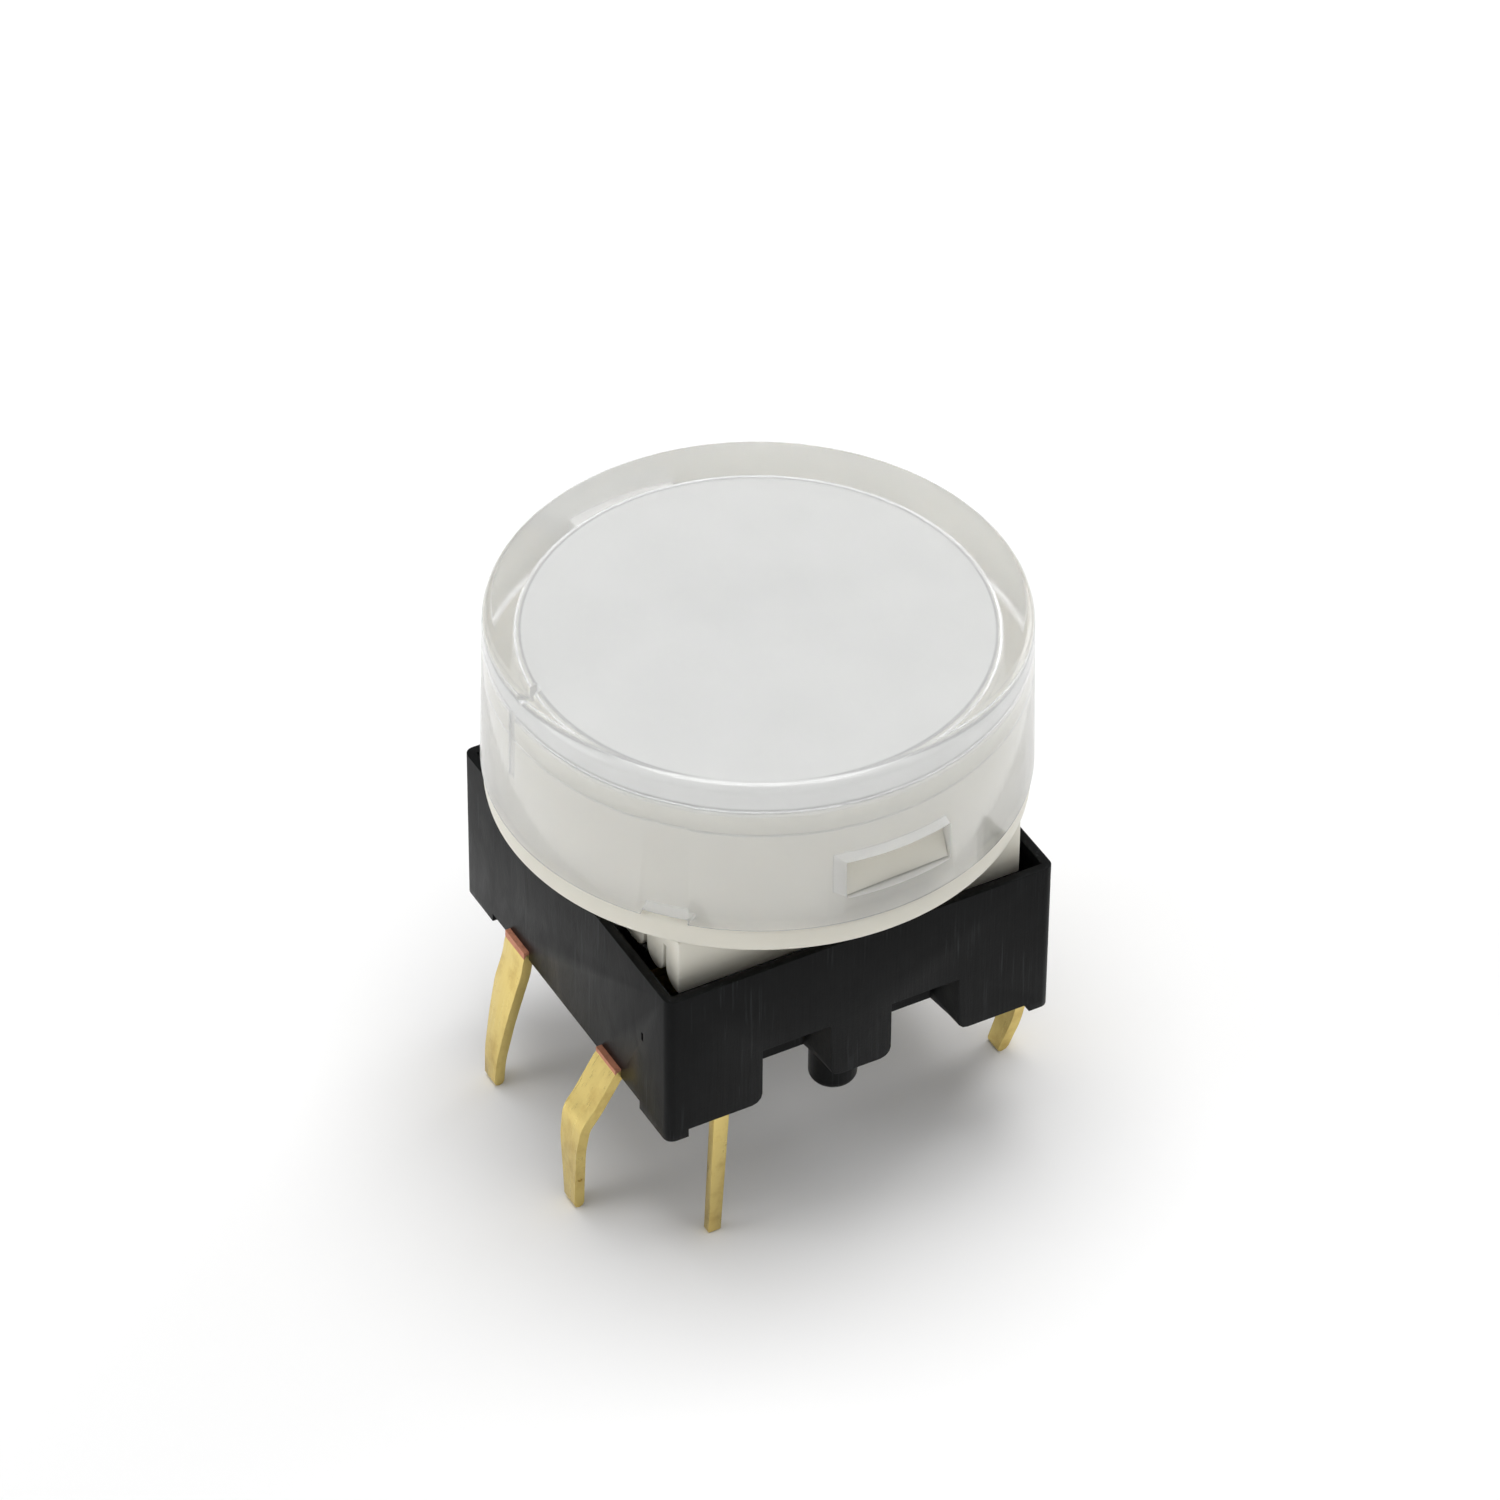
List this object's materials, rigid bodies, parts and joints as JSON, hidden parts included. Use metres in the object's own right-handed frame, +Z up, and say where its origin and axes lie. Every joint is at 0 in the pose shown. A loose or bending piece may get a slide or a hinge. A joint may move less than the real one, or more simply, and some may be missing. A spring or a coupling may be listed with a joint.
{
  "type": "tactile push button switch",
  "caption": "Black square tactile switch with a round clear-topped white push button, a lamp inside, kinked gold solder legs and round locating pegs.",
  "frame": {"origin": "on the axis of the button, in the plane of the leg tips", "axes": "+Z up along the button's axis towards its cap, -Y towards the front face, whose lamp pin is on its left side, +X to the right"},
  "size_m": [0.0138, 0.0138, 0.0151],
  "materials": {
    "black_plastic": "fine moulded, matte",
    "gold_plate": "satin gold plating",
    "spring_steel": "bright",
    "lamp_resin": "glossy",
    "white_plastic": "satin moulded",
    "milky_plastic": "milky, matte",
    "white_film": "smooth, matte",
    "clear_plastic": "clear, polished"
  },
  "bodies": {
    "switch_body": {"base": "black_plastic", "front_left_terminal": "gold_plate", "back_left_terminal": "gold_plate", "front_right_terminal": "gold_plate", "back_right_terminal": "gold_plate", "front_led_pin": "gold_plate", "back_led_pin": "gold_plate", "led": "lamp_resin", "click_dome": "spring_steel", "return_spring": "spring_steel"},
    "button": {"plunger": "white_plastic", "cap_holder": "white_plastic", "diffuser": "milky_plastic", "legend_film": "white_film", "lens_cap": "clear_plastic"}
  },
  "joints": [
    {"name": "button_press", "type": "slide", "parent": "switch_body", "child": "button", "axis": [0, 0, -1], "range_m": [0, 0.0006], "stiffness_N_per_m": 1500, "springref_m": -0.0006, "deforming": ["return_spring", "click_dome"]}
  ]
}
